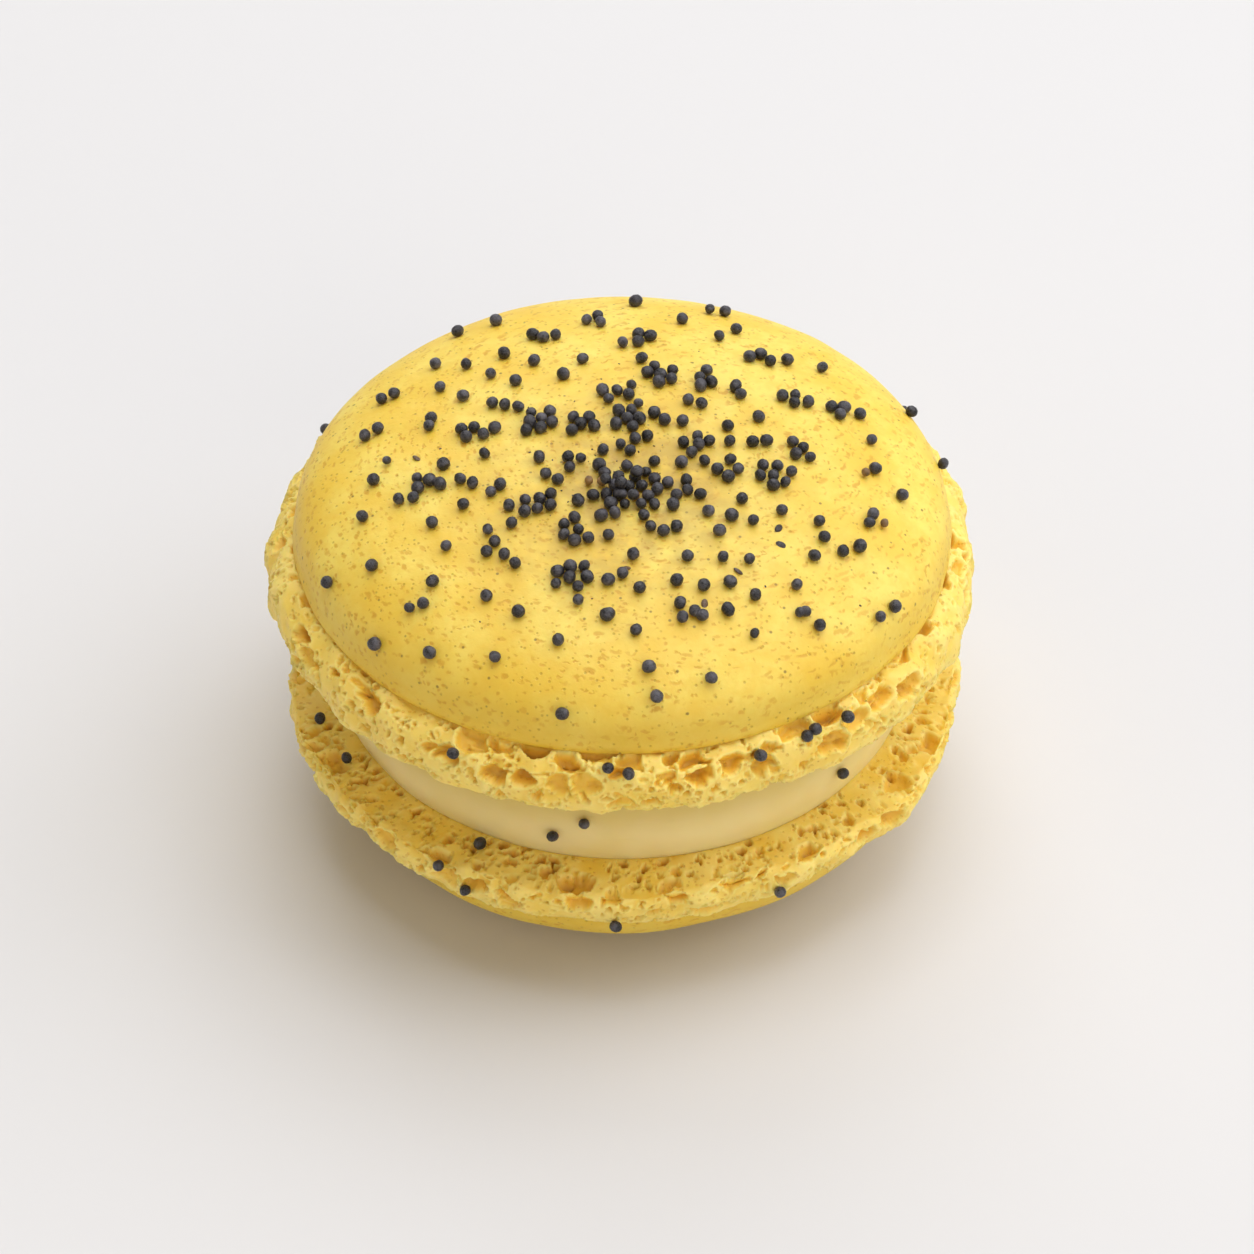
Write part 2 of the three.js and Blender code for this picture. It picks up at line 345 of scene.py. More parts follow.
def baked_meringue():
    """Baked almond meringue, piped, rested to a skin and baked: a matt, slightly waxy yellow skin
    with fine pores and darker almond specks, over a foot of open bubbles. Painted shade deepens
    the colour to orange and brown in the bubbles and darkens the pores and the skin where it
    turns down; a painted highlight pales the crests of the foot. Light passes a little way
    through thin walls."""
    material, tree, shader = new_material("baked_almond_meringue", {
        "Roughness": 0.52, "IOR": 1.45, "Specular IOR Level": 0.6,
        "Subsurface Weight": 0.35, "Subsurface Radius": (1.0, 0.62, 0.16),
        "Subsurface Scale": 0.45 * MM,
    })
    place = add(tree, "TexCoord").outputs["Object"]
    hollow_shade = add(tree, "Attribute", attribute_name="hollow_shade").outputs["Fac"]
    foot = add(tree, "Attribute", attribute_name="foot").outputs["Fac"]
    dust = add(tree, "Attribute", attribute_name="dust").outputs["Fac"]
    crest_highlight = add(tree, "Attribute", attribute_name="crest_highlight").outputs["Fac"]
    grain = add(tree, "Attribute", attribute_name="grain").outputs["Vector"]
    skin = ramp(tree, foot, 0.0, 1.0, 1.0, 0.0)

    # Slow clouds of paler and deeper yellow, 4 mm across, and a finer curdle of 1 mm. Painted shade
    # makes the skin deeper yellow where it turns down to its edge, away from the light above.
    clouds = ramp(tree, noise(tree, place, 4.5, 3.0), 0.35, 0.65)
    curdle = ramp(tree, noise(tree, place, 1.1, 3.0, 0.6), 0.35, 0.7)
    base = tint(tree, clouds, "#EFCA48", "#F5DB66")
    base = tint(tree, times(tree, curdle, 0.45), base, "#EBC03C")
    normal = add(tree, "NewGeometry").outputs["Normal"]
    upward = add(tree, "SeparateXYZ", {"Vector": normal}).outputs["Z"]
    # Painted shade where the skin faces down, away from the light above.
    steep_shade = ramp(tree, upward, 0.1, 0.8, 1.0, 0.0)
    base = tint(tree, times(tree, steep_shade, skin, 0.5), base, "#DDB92E")
    base = tint(tree, times(tree, foot, 0.5), base, "#F8D252")
    # Painted highlight: paler on the foot's lumps and round the rims of its bubbles.
    base = tint(tree, times(tree, crest_highlight, 0.75), base, "#FEE789")

    # Marks in the skin, orange and up to 0.65 mm long, mostly drawn out round the crown, and more
    # of them in some places than in others. The grain counts in millimetres.
    sway = noise(tree, place, 0.8, 2.0)
    bent = add(tree, "VectorMath", {0: grain, 1: times(tree, sway, 1.3)}, operation="ADD").outputs[0]
    patchy = ramp(tree, noise(tree, place, 4.0, 2.0), 0.3, 0.65, 0.5, 1.0)
    long_marks = times(tree, dots(tree, bent, 1 / 0.85, 0.14, 0.36, (0.4, 0.52)), patchy, skin)
    short_marks = times(tree, dots(tree, bent, 1 / 0.5, 0.14, 0.4, (0.4, 0.52)), patchy, skin)
    marks = add(tree, "Math", {0: long_marks, 1: short_marks}, operation="MAXIMUM").outputs[0]
    base = tint(tree, times(tree, marks, 0.75), base, "#D39C20")

    # Pores up to 0.2 mm wide, about one to a square millimetre, darkened as painted shade, and rarer
    # specks of almond skin.
    fewer = ramp(tree, foot, 0.0, 1.0, 1.0, 0.3)
    shaded_pores = dots(tree, place, per_metre(0.45), 0.12, 0.28, (0.42, 0.5))
    base = tint(tree, times(tree, shaded_pores, fewer, 0.45), base, "#AC871E")
    specks = dots(tree, place, per_metre(1.0), 0.06, 0.14, (0.5, 0.55))
    base = tint(tree, times(tree, specks, fewer, 0.75), base, "#7A6224")

    # Brownish dust of crushed seeds round the heap.
    film = times(tree, dust, ramp(tree, noise(tree, place, 1.6, 3.0), 0.2, 0.7))
    base = tint(tree, times(tree, film, 0.9), base, "#B5923F")

    # Painted shade in the open bubbles: a deeper orange, and brown in the deepest. The smallest,
    # 0.2 mm across, are too small for the mesh, and are painted-shade dots with a bump.
    shaded_holes = times(tree, dots(tree, place, per_metre(0.4), 0.22, 0.36, (0.5, 0.56)), foot)
    base = tint(tree, times(tree, shaded_holes, 0.5), base, "#DBA82C")
    base = tint(tree, ramp(tree, hollow_shade, 0.05, 0.6, 0.0, 0.7), base, "#F0C045")
    base = tint(tree, ramp(tree, hollow_shade, 0.6, 1.2, 0.0, 0.65), base, "#C58C29")
    tree.links.new(base, shader.inputs["Base Color"])

    # Relief: a fine curdle, the pores and marks, and the smallest bubbles.
    fine = noise(tree, place, 0.6, 3.0, 0.5)
    relief = add(tree, "Math", {0: fine, 1: times(tree, shaded_holes, 1.1)}, operation="SUBTRACT").outputs[0]
    open_marks = add(tree, "Math", {0: shaded_pores, 1: times(tree, marks, 0.5)}, operation="ADD").outputs[0]
    pored = add(tree, "Math", {0: relief, 1: open_marks}, operation="SUBTRACT").outputs[0]
    bump = add(tree, "Bump", {"Height": pored, "Strength": 0.55, "Distance": 0.07 * MM})
    tree.links.new(bump.outputs["Normal"], shader.inputs["Normal"])
    return material


def buttercream():
    """Whipped buttercream, spread and pressed: smooth, ivory, softly glossy from its fat, with
    faint level smears where the shells were turned against it. Painted shade makes its side
    darker and more olive towards the upper shell."""
    material, tree, shader = new_material("buttercream", {
        "Roughness": 0.42, "IOR": 1.46, "Specular IOR Level": 0.4,
        "Subsurface Weight": 0.6, "Subsurface Radius": (1.0, 0.75, 0.4),
        "Subsurface Scale": 1.6 * MM,
    })
    place = add(tree, "TexCoord").outputs["Object"]
    smear_place = add(tree, "Mapping", {"Vector": place, "Scale": (1.0, 1.0, 9.0)}).outputs[0]
    smear = noise(tree, smear_place, 7.0, 3.0)
    clouds = ramp(tree, noise(tree, place, 5.0, 2.0), 0.3, 0.7)
    base = tint(tree, clouds, "#F4E2A6", "#EDD994")
    # Painted shade from the upper shell's overhang, darker towards the top of the side.
    height = add(tree, "SeparateXYZ", {"Vector": place}).outputs["Z"]
    under_shell_shade = ramp(tree, height, filling_low.z + 1.6 * MM, filling_low.z + 5.2 * MM)
    base = tint(tree, times(tree, under_shell_shade, 0.8), base, "#CDB35A")
    tree.links.new(base, shader.inputs["Base Color"])
    bump = add(tree, "Bump", {"Height": smear, "Strength": 0.35, "Distance": 0.12 * MM})
    tree.links.new(bump.outputs["Normal"], shader.inputs["Normal"])
    return material


def poppy_seed_coat():
    """The dry coat of a blue poppy seed: charcoal, with a dusty grey bloom that is thick on some
    seeds and thin on others, mottled, netted with fine ridges about 0.16 mm apart, and darkened
    with painted shade in the notch where the seed hung. A few are husks, and tan."""
    material, tree, shader = new_material("poppy_seed_coat", {
        "Roughness": 0.34, "IOR": 1.5, "Specular IOR Level": 0.42,
    })
    place = add(tree, "TexCoord").outputs["Object"]
    bloom = add(tree, "Attribute", attribute_name="bloom").outputs["Fac"]
    tan = add(tree, "Attribute", attribute_name="tan").outputs["Fac"]
    notch = add(tree, "Attribute", attribute_name="notch").outputs["Fac"]
    net = add(tree, "TexVoronoi", {"Vector": place, "Scale": per_metre(0.16)},
              feature="DISTANCE_TO_EDGE").outputs["Distance"]
    ridge = ramp(tree, net, 0.02, 0.18, 1.0, 0.0)
    patches = ramp(tree, noise(tree, place, 0.4, 3.0), 0.4, 0.65)
    base = tint(tree, bloom, "#0A090A", "#56535A")
    base = tint(tree, times(tree, patches, 0.75), base, "#070607")
    worn = ramp(tree, noise(tree, place, 0.55, 2.0), 0.52, 0.66)
    base = tint(tree, times(tree, worn, 0.25), base, "#86838B")
    base = tint(tree, times(tree, ridge, 0.14), base, "#7D7982")
    base = tint(tree, tan, base, "#A9804C")
    # Painted shade in the notch where the seed hung.
    base = tint(tree, times(tree, notch, 0.8), base, "#0E0C0C")
    tree.links.new(base, shader.inputs["Base Color"])
    bump = add(tree, "Bump", {"Height": ridge, "Strength": 0.5, "Distance": 0.03 * MM})
    tree.links.new(bump.outputs["Normal"], shader.inputs["Normal"])
    return material


# ------------------------------------------------------------------------------------ shells

def dome_outline(shell, rows):
    """Radius and height of the skin from crown to widest ring: a superellipse, cut level where
    the shell's own height ends it."""
    level = min(1.0, (shell["height"] - shell["dome_start"]) / shell["dome_rise"])
    top = math.asin(level ** (shell["fullness"] / 2))
    turn = top * np.linspace(1, 0, rows)
    power = 2 / shell["fullness"]
    radius = shell["dome_radius"] * np.cos(turn) ** power
    return radius, shell["dome_start"] + shell["dome_rise"] * np.sin(turn) ** power


def rim_radius(shell):
    """Radius of the flat underside's edge."""
    return shell["foot_radius"] - shell["rim_inset"]


def foot_outline(shell, rows):
    """Radius and height of the foot from the crease under the skin to the edge of the underside:
    a quarter ellipse out to the widest ring, and a flatter one back in under it."""
    reach = shell["foot_radius"] - shell["skin_radius"]
    rise = shell["skin_height"] - shell["foot_height"]
    upper_rows = int(rows * 0.66)
    out = np.linspace(QUARTER, 0, upper_rows)
    back = np.linspace(0, QUARTER, rows - upper_rows + 1)[1:]
    radius = [shell["skin_radius"] + reach * np.cos(out),
              shell["foot_radius"] - shell["rim_inset"] * (1 - np.cos(back))]
    height = [shell["foot_height"] + rise * np.sin(out),
              shell["foot_height"] * (1 - np.sin(back))]
    return np.concatenate(radius), np.concatenate(height)


def shell_outline(shell):
    """The whole outline from the crown down to the middle of the underside: radius, height, and
    how many columns each row has. The skin ends in a small rolled lip over the crease."""
    lip = 0.16
    lip_turned_in = 0.1
    crease = 0.35
    crease_fall = 0.12

    # The skin, after the flat spot of a shell that rests on its crown.
    radius, height = dome_outline(shell, 46)
    if shell["height"] < shell["dome_start"] + shell["dome_rise"]:
        flat_spot = radius[0] * np.linspace(0, 1, 9)[:-1]
    else:
        flat_spot = np.zeros(1)
        radius, height = radius[1:], height[1:]
    stretches = [(flat_spot, np.full(len(flat_spot), shell["height"]), DOME_COLUMNS),
                 (radius, height, DOME_COLUMNS)]

    # The lip, a quarter turn down and in, and the crease behind it.
    roll = np.linspace(0, QUARTER, 7)[1:]
    radius = shell["dome_radius"] + lip * np.sin(2 * roll) - lip_turned_in * np.sin(roll) ** 4
    height = shell["dome_start"] - (shell["dome_start"] - shell["skin_height"]) * np.sin(roll)
    stretches.append((radius, height, LIP_COLUMNS))
    tuck = np.linspace(0, 1, 4)[1:]
    radius = shell["skin_radius"] - crease * tuck
    height = shell["skin_height"] - crease_fall * tuck
    stretches.append((radius, height, FINE_COLUMNS))

    # The foot, which comes out of the crease, and the underside.
    rows = shell["foot_rows"]
    radius, height = foot_outline(shell, rows)
    radius = radius - crease * np.linspace(1, 0, rows) ** 6
    stretches.append((radius, height, FINE_COLUMNS))
    rim = np.linspace(rim_radius(shell), FILLING_RADIUS - UNDER_FILLING, shell["rim_rows"] + 1)[1:]
    inner = np.linspace(rim[-1] - 1.2, 0, 5)
    stretches.append((rim, np.zeros(len(rim)), FINE_COLUMNS))
    stretches.append((rim[-1:] - 0.4, np.zeros(1), LIP_COLUMNS))
    stretches.append((inner, np.zeros(len(inner)), DOME_COLUMNS))

    radius = np.concatenate([stretch[0] for stretch in stretches])
    height = np.concatenate([stretch[1] for stretch in stretches])
    columns = np.concatenate([np.full(len(stretch[0]), stretch[2]) for stretch in stretches])
    columns[[0, -1]] = 1
    return radius, height, columns


def outline_normals(radius, height, along):
    """The outline's unit normal at each of its points, as a radial and a vertical part."""
    steps = along + 1e-9 * np.arange(len(along))  # a gradient needs them all different
    out_r = -np.gradient(height, steps)
    out_h = np.gradient(radius, steps)
    size = np.maximum(np.hypot(out_r, out_h), 1e-9)
    return out_r / size, out_h / size


def open_bubbles(shell, angle, s, flat, round_place, rim_start, foot_end):
    """How deep the bubbles of all sizes cut a foot together, and how near a point is to one of
    their rims. Where two overlap, the deeper one counts whole and the other by 0.45. The places
    are bent by noise first, so that the bubbles lie in no straight rows."""
    seed = shell["seed"]
    girth = 2 * np.pi * shell["foot_radius"]
    wander = s + layered_noise(round_place, [(0.35, 3.0, seed + 5)])
    wander += layered_noise(flat, [(0.22, 0.9, seed + 12), (0.1, 0.42, seed + 16)])
    swing = angle + layered_noise(flat, [(0.014, 1.5, seed + 6)])
    swing += layered_noise(flat, [(0.01, 0.8, seed + 13), (0.005, 0.42, seed + 17)])
    cuts, rims = np.zeros((2, len(s)))
    for number, bubbles in enumerate(shell["bubbles"]):
        if bubbles.end is None:
            band = (rim_start + bubbles.start, foot_end)
        else:
            band = (bubbles.start, rim_start + bubbles.end)
        depth, rim_here = bubble_depth(swing, wander, girth, bubbles, band, seed * 10 + number)
        rims = np.maximum(rims, rim_here)
        cuts = np.maximum(cuts, depth) + 0.45 * np.minimum(cuts, depth)
    return cuts, rims


def shell_piece(name, shell, material):
    """One shell, by the outline turned round the axis and then pushed along its normal. On the foot
    the push is a slow ruffle, lumps of froth and the cuts of open bubbles, large under the skin
    and small towards the underside. On the skin it is a very slow swell."""
    radius, height, columns = shell_outline(shell)
    along = np.concatenate([[0], np.cumsum(np.hypot(np.diff(radius), np.diff(height)))])
    out_r, out_h = outline_normals(radius, height, along)
    crease_row = int(np.argmax(columns == FINE_COLUMNS)) + 3
    along -= along[crease_row]
    # The underside's rim runs from rim_start to the filling, and the foot's detail ends under it.
    rim_start = along[-1] - rim_radius(shell)
    foot_end = along[-1] - (FILLING_RADIUS - 0.6)

    # From here on every value is one for each point: the turn, radius and height, the way s along
    # the outline from the crease, and the normal.
    angle = np.concatenate([np.arange(n) / n * 2 * np.pi for n in columns])
    row = np.repeat(np.arange(len(columns)), columns)
    r, h, s = radius[row], height[row], along[row]
    out_r, out_h = out_r[row], out_h[row]

    # foot is 1 on the foot and on the open rim of the underside, 0 on the skin and under the
    # filling, and rim is 1 on that rim only. skin is 1 well above the crease, and settled fades
    # to 0 at the flat spot that a shell rests on.
    foot = np.clip(s / 0.25, 0, 1) * np.clip((foot_end - s) / 0.4, 0, 1)
    rim = np.clip((s - rim_start) / 0.6, 0, 1)
    skin = np.clip(-s / 1.0, 0, 1) * np.clip(h / 4.0, 0, 1)
    settled = np.clip((shell["height"] - h) / 0.5, 0, 1) if shell["up"] < 0 else 1.0

    # Noise in flat is the same in all directions, and in round_place it is drawn out up and down.
    flat = np.stack([r * np.cos(angle), r * np.sin(angle), shell["up"] * h], axis=1)
    round_place = np.stack([20 * np.cos(angle), 20 * np.sin(angle), h * 0.4], axis=1)
    seed = shell["seed"]
    ruffle = layered_noise(round_place, [(0.42, 5.5, seed), (0.26, 2.4, seed + 1),
                                         (0.14, 1.2, seed + 15)])
    lumps = layered_noise(flat, [(0.24, 1.7, seed + 2), (0.13, 0.8, seed + 3),
                                 (0.02, 0.4, seed + 4)])
    swell = layered_noise(flat, [(0.13, 7.0, seed + 7), (0.05, 2.6, seed + 8)])
    heave = layered_noise(round_place, [(0.12, 2.0, seed + 9)])
    lip_wave = layered_noise(round_place, [(0.16, 4.2, seed + 18), (0.07, 1.6, seed + 19)])
    lip_wave *= np.exp(-(s / 1.1) ** 2)

    cuts, rims = open_bubbles(shell, angle, s, flat, round_place, rim_start, foot_end)
    cuts *= foot
    rims *= np.clip(1 - 4 * cuts, 0, 1)
    lumps += 0.07 * rims

    push = foot * (lumps * (1 - 0.6 * rim) - 0.1) - cuts + swell * skin * settled
    r = r + out_r * push + ruffle * foot * (1 - rim) + lip_wave
    h = h + out_h * push + heave * foot * (1 - rim) + 1.2 * lip_wave
    points = np.stack([r * np.cos(angle), r * np.sin(angle),
                       shell["plane"] + shell["up"] * h], axis=1)

    # Marks drawn out round the skin: their place counts the turn, and the way along the outline.
    grain = np.stack([r * np.cos(angle) * 0.65, r * np.sin(angle) * 0.65, s], axis=1)
    from_heap = np.hypot(points[:, 0] - HEAP[0], points[:, 1] - HEAP[1])
    dust = np.exp(-(from_heap / 8.0) ** 2) * (shell["up"] > 0) * np.clip(-s, 0, 1)
    # Painted highlight on the foot: high on its lumps and bubble rims, low in the cuts.
    crest_highlight = foot * np.clip(0.4 + 2.0 * lumps + 0.5 * rims - 3.0 * cuts, 0, 1)
    # Painted shade in the bubbles, growing with their depth, and browner close to the filling that
    # shades them.
    hollow_shade = cuts * (1 + 0.9 * np.clip((s - rim_start - 1.0) / 0.8, 0, 1))

    order = slice(None)
    if shell["up"] < 0:
        # Turned over, the rows are listed from the underside down to the crown.
        starts = np.cumsum(columns) - columns
        order = np.concatenate([np.arange(a, a + n) for a, n in zip(starts[::-1], columns[::-1])])
        columns = columns[::-1]
    quads, triangles = ring_faces(list(columns))
    attributes = {"hollow_shade": hollow_shade[order], "foot": foot[order], "dust": dust[order],
                  "crest_highlight": crest_highlight[order], "grain": grain[order]}
    return make_piece(name, points[order], quads + triangles, attributes, material)


# ----------------------------------------------------------------------------------- filling

def filling_piece(material):
    """The cream's side is a half sine bulge from face to face, with rounded edges where it leaves
    the shells, and it wanders in and out by up to 0.12 mm."""
    columns, rows = 480, 44
    low, high = filling_low.z / MM, filling_high.z / MM
    level = np.linspace(0, 1, rows)
    side = 0.45 * (1 - np.sin(np.pi * level) ** 0.55)
    radius = np.concatenate([[0], FILLING_RADIUS - side, [0]])
    height = np.concatenate([[high], high - (high - low) * level, [low]])
    counts = [1] + [columns] * rows + [1]
    angle = np.concatenate([np.arange(n) / n * 2 * np.pi for n in counts])
    row = np.repeat(np.arange(rows + 2), counts)
    r, z = radius[row], height[row]
    ring = np.stack([20 * np.cos(angle), 20 * np.sin(angle), z * 2.5], axis=1)
    r = r + (r > 1) * layered_noise(ring, [(0.09, 6.0, 5), (0.03, 2.0, 6)])
    points = np.stack([r * np.cos(angle), r * np.sin(angle), z], axis=1)
    quads, triangles = ring_faces(counts)
    return make_piece("buttercream_filling", points, quads + triangles, None, material)


# ------------------------------------------------------------------------------------- seeds

SEED_SIZE = np.array([0.88, 0.85, 0.79])  # length, width and thickness of a common seed
SUNK = 0.02  # how far a seed is set into what it is stuck to
SEED_RISE = SEED_SIZE[2] / 2 - SUNK  # from the surface up to a seed's middle
HEAP = (0.2, -5.2)
HEAP_SEEDS = 19
HEAP_TOP_SEEDS = 5

# Places on the crown in millimetres: single seeds, and clumps with how many seeds each holds.
SINGLES = [
    (-10.6, 9.1), (-8.9, 7.5), (-6, 8.7), (-7.2, 6.4), (-12.3, 6.7), (-10.7, 5.2), (-8.5, 1.3),
    (-9.1, -1.3), (-15.6, -0.7), (-11.8, -2), (-10.4, -6.1), (-7.4, -6.6), (-12.4, -7.4),
    (-8.7, -8.6), (-7.2, -8.2), (-11.4, -9.6), (-5.5, -2), (4.1, 14.4), (7.8, 13.5), (6.6, 12.2),
    (0, 10.8), (11.2, 9.8), (-2.7, 8.7), (-4, 6.9), (1.3, 8.8), (4, 1.7), (9.1, 2.6), (7, 1.4),
    (7.1, -0.2), (3.9, -2.6), (5.4, -2.4), (7.1, -2.1), (-1.3, -1.4), (0.3, -3), (2.1, -2.5),
    (3.5, -8.7), (5.1, -5.7), (5.6, -7.2), (7.1, -7.5), (8.5, -7.8), (6.3, -8.9), (7.8, -5.9),
    (10.4, -6.6), (-0.9, -9.5), (16.6, 1.9), (15.4, -8.6), (12.8, -7.2), (13.1, -8.5),
    (12.4, -10.1), (14.3, -9.3), (-0.9, -13.3), (-2.8, -14.8), (0.7, -11.2), (0, -12.8),
    (1.1, -13.9), (-1, -15.9), (4.2, -11.2), (6.5, -11.1), (8.2, -11.1), (3.5, -13.2),
    (5.2, -13.5), (6.9, -13), (8.5, -13.8), (6.8, -15.2), (11.2, -12.6), (11.7, -14.4),
    (-16.2, -9.9), (-12.2, -12.3), (-8.7, -13.9), (-6.6, -15.3), (2.1, -6.7), (1.4, -7.7),
    (-1.4, -7.7), (-2.9, -6.3), (-2.2, -4.4),
]
CLUMPS = [
    (-5.3, 12, 3), (-15.6, 7, 2), (-7.8, 3.5, 3), (-12.8, 3.1, 2), (-10.2, 1, 4), (-5.4, 1.8, 7),
    (-17, 2.7, 2), (-12.8, -3.5, 4), (-10.3, -3.6, 2), (-8.5, -5.1, 2), (-14.5, -4.6, 2),
    (-5.4, -6.3, 6), (-8.5, -10, 2), (-4.4, -4.2, 2), (-1.6, 13.9, 3), (6.2, 16.3, 2),
    (1.2, 11.8, 3), (9.4, 10, 3), (2.7, 6.8, 6), (5.4, 6.6, 4), (7.6, 5.5, 2), (-0.2, 4.9, 5),
    (-2.7, 1.6, 5), (0.5, 2, 7), (2.3, 2.4, 2), (1.6, 0.1, 2), (4.6, 3.9, 2), (5, -0.8, 5),
    (-3.4, -2.2, 3), (-1.5, -3, 2), (0.6, -1.3, 2), (6.9, -3.6, 3), (10, -3.5, 7), (-3, -9.1, 6),
    (11.6, 5.2, 4), (14.6, 4.8, 3), (11.9, -0.4, 4), (16.5, -1.2, 2), (16.2, -6.3, 3),
    (9.4, 0, 2), (-3.5, -12.8, 7), (4.3, -15.3, 2), (-13, -13.7, 2), (-7.1, -11.6, 2),
    (4.1, -4.6, 2), (1.9, -8.9, 2), (3.3, -6.6, 2),
]
SHARDS = [(-13.7, -0.6), (7.5, -11.9), (5.3, -14.7), (10.2, -8), (10.3, -9.4), (0.3, -12.1)]


def seed_shape():
    """A cube's surface cut three by three on each side and rounded to a ball, 54 quads, drawn in
    on one side into the notch where the seed hung."""
    grid = np.array([p for p in np.ndindex(4, 4, 4) if {0, 3} & set(p)])
    number = {tuple(p): i for i, p in enumerate(grid)}
    faces = []
    for axis in range(3):
        u, v = (axis + 1) % 3, (axis + 2) % 3
        for level, i, j in np.ndindex(2, 3, 3):
            corners = [(i, j), (i + 1, j), (i + 1, j + 1), (i, j + 1)]
            face = []
            for a, b in corners if level else corners[::-1]:
                point = [0, 0, 0]
                point[axis], point[u], point[v] = 3 * level, a, b
                face.append(number[tuple(point)])
            faces.append(face)
    ball = np.tan((grid / 1.5 - 1) * math.pi / 4)
    ball /= np.linalg.norm(ball, axis=1, keepdims=True)
    notch = np.exp(-((1 - ball[:, 1]) / 0.14))
    ball *= (1 - 0.16 * notch)[:, None]
    return ball / 2, np.array(faces), notch


def seed_group(name, places, outward, scale, bloom, tan, material, rng):
    """Seeds of the one shape, each turned by chance about the way out of the surface under it and
    leaned a little, joined into one mesh."""
    count = len(places)
    shape, faces, notch = seed_shape()
    side = np.cross(outward, rng.normal(size=(count, 3)))
    side /= np.linalg.norm(side, axis=1, keepdims=True)
    up = outward + 0.5 * rng.normal(size=(count, 3))
    up /= np.linalg.norm(up, axis=1, keepdims=True)
    ahead = np.cross(up, side)
    ahead /= np.linalg.norm(ahead, axis=1, keepdims=True)
    side = np.cross(ahead, up)
    basis = np.stack([side, ahead, up], axis=1)
    wobble = 1 + 0.012 * rng.normal(size=(count, len(shape), 1))
    body = shape * wobble * scale[:, None, :]
    points = places[:, None, :] + np.einsum("nvi,nij->nvj", body, basis)
    all_faces = faces[None] + (np.arange(count) * len(shape))[:, None, None]
    attributes = {"bloom": np.repeat(bloom, len(shape)), "tan": np.repeat(tan, len(shape)),
                  "notch": np.tile(notch, count)}
    return make_piece(name, points.reshape(-1, 3), [all_faces.reshape(-1, 4)], attributes, material)


def surface_under(tree, x, y):
    """The point and the normal of the upper skin straight below a place, in millimetres."""
    point, normal, _, _ = tree.ray_cast(Vector((x * MM, y * MM, 1.0)), Vector((0, 0, -1)))
    return np.array(point) / MM, np.array(normal)


def clump_places(clump, taken, rng):
    """Seeds of a clump: each new one touches one that is there, keeps clear of every seed already
    placed, and of a few such spots picked by chance takes the nearest to the clump's middle. The
    more spots, the tighter the clump, and the heap is the tightest."""
    x, y, count = clump
    middle = np.array([x, y])
    tries = 16 if count == HEAP_SEEDS else 7
    picked = 60
    apart = 0.82
    mine = [middle + rng.normal(0, 0.15, 2)]
    while len(mine) < count:
        turn = rng.uniform(0, 2 * math.pi, picked)
        gap = rng.uniform(0.86, 1.08, picked)
        spots = np.array(mine)[rng.integers(0, len(mine), picked)]
        spots = spots + (gap * np.array([np.cos(turn), np.sin(turn)])).T
        near = np.linalg.norm(spots[:, None] - np.array(taken + mine)[None], axis=2).min(axis=1)
        clear = spots[near > apart][:tries] if (near > apart).any() else spots[:1]
        mine.append(clear[np.argmin(np.linalg.norm(clear - middle, axis=1))])
    return mine


def seed_looks(count, rng):
    """Size, bloom and tan of seeds by chance: most are dark and some paler, one in 70 a husk."""
    scale = SEED_SIZE * (1 + 0.07 * rng.normal(size=(count, 1))) * rng.uniform(0.95, 1.05, (count, 3))
    bloom = rng.beta(1.3, 2.2, count)
    tan = np.where(rng.uniform(size=count) < 0.014, rng.uniform(0.4, 0.8, count), 0.0)
    return scale, bloom, tan


def strewn_seeds(skin_tree, named, material):
    """All seeds on the crown that are not pieces of their own: singles, clumps and the heap, whose
    last seeds lie on top of the others. They are joined by where they lie."""
    rng = np.random.default_rng(5)
    taken = [np.array(p) for p in named]
    flat = []
    for x, y in SINGLES:
        flat.append(np.array([x, y]))
        taken.append(flat[-1])
    for clump in CLUMPS + [(*HEAP, HEAP_SEEDS)]:
        placed = clump_places(clump, taken, rng)
        flat += placed
        taken += placed
    rise = [SEED_RISE] * len(flat) + [SEED_SIZE[2] * 1.25] * HEAP_TOP_SEEDS
    for _ in range(HEAP_TOP_SEEDS):
        turn = rng.uniform(0, 2 * math.pi)
        reach = rng.uniform(0.2, 1.4)
        flat.append(np.array(HEAP) + reach * np.array([math.cos(turn), math.sin(turn)]))
    found = [surface_under(skin_tree, *spot) for spot in flat]
    outward = np.array([normal for _, normal in found])
    places = np.array([point for point, _ in found]) + outward * np.array(rise)[:, None]

    # Husks, tan and smaller, are common in the heap.
    scale, bloom, tan = seed_looks(len(places), rng)
    from_heap = np.hypot(places[:, 0] - HEAP[0], places[:, 1] - HEAP[1])
    husk = (from_heap < 2.6) & (rng.uniform(size=len(tan)) > 0.86)
    tan = np.where(husk, 0.8, tan)
    scale = np.where(tan[:, None] > 0, scale * 0.75, scale)

    names = ["heap_seeds", "back_right_seeds", "back_left_seeds", "front_left_seeds",
             "front_right_seeds"]
    quarter = (np.arctan2(places[:, 1], places[:, 0]) % (2 * np.pi) // QUARTER).astype(int)
    group = np.where(from_heap < 3.2, 0, 1 + quarter)
    pieces = []
    for number, name in enumerate(names):
        mine = group == number
        pieces.append(seed_group(name, places[mine], outward[mine], scale[mine], bloom[mine],
                                 tan[mine], material, rng))
    return pieces


